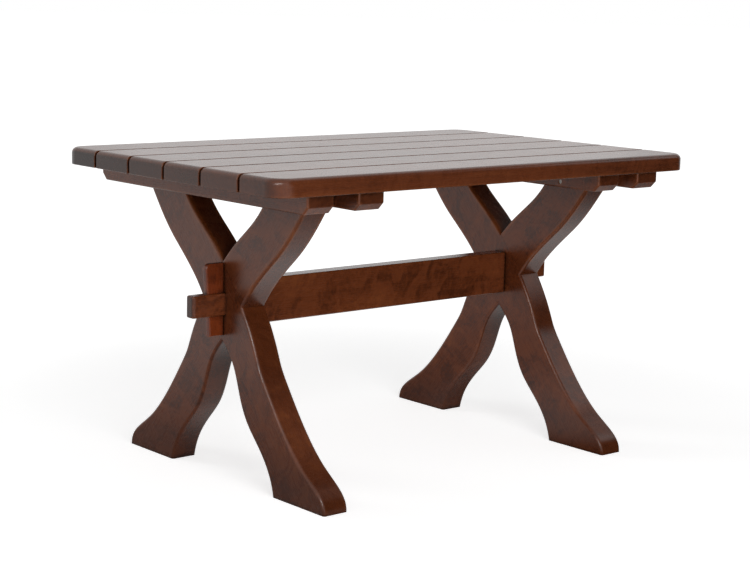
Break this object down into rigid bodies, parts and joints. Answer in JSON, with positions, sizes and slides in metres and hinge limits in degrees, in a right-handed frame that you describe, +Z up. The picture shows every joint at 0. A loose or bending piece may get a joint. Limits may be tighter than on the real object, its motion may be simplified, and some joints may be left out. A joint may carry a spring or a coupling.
{
  "type": "sawbuck table",
  "caption": "Sawbuck table with a slatted wooden top on crossed S-curved legs, joined by a stretcher with wedged through tenons.",
  "frame": {"origin": "on the floor under the middle of the top", "axes": "+X along the length of the top, +Y across its width, +Z up"},
  "size_m": [1.2, 0.79, 0.7],
  "materials": {
    "top_wood": "walnut-stained, semi-gloss lacquer",
    "batten_wood": "walnut-stained, semi-gloss lacquer",
    "leg_wood": "walnut-stained, semi-gloss lacquer",
    "stretcher_wood": "walnut-stained, semi-gloss lacquer",
    "wedge_wood": "walnut-stained, semi-gloss lacquer",
    "screw_steel": "zinc-plated"
  },
  "bodies": {
    "table": {"top_plank_1": "top_wood", "top_plank_2": "top_wood", "top_plank_3": "top_wood", "top_plank_4": "top_wood", "top_plank_5": "top_wood", "top_plank_6": "top_wood", "left_outer_batten": "batten_wood", "left_inner_batten": "batten_wood", "right_inner_batten": "batten_wood", "right_outer_batten": "batten_wood", "left_front_leg": "leg_wood", "left_rear_leg": "leg_wood", "right_front_leg": "leg_wood", "right_rear_leg": "leg_wood", "stretcher": "stretcher_wood", "left_outer_plank_screws": "screw_steel", "left_inner_plank_screws": "screw_steel", "right_inner_plank_screws": "screw_steel", "right_outer_plank_screws": "screw_steel", "left_leg_screws": "screw_steel", "right_leg_screws": "screw_steel"},
    "left_wedge": {"left_wedge": "wedge_wood"},
    "right_wedge": {"right_wedge": "wedge_wood"}
  },
  "joints": [
    {"name": "left_wedge_pull", "type": "slide", "parent": "table", "child": "left_wedge", "axis": [0, 0, 1], "range_m": [0, 0.1]},
    {"name": "right_wedge_pull", "type": "slide", "parent": "table", "child": "right_wedge", "axis": [0, 0, 1], "range_m": [0, 0.1]}
  ]
}
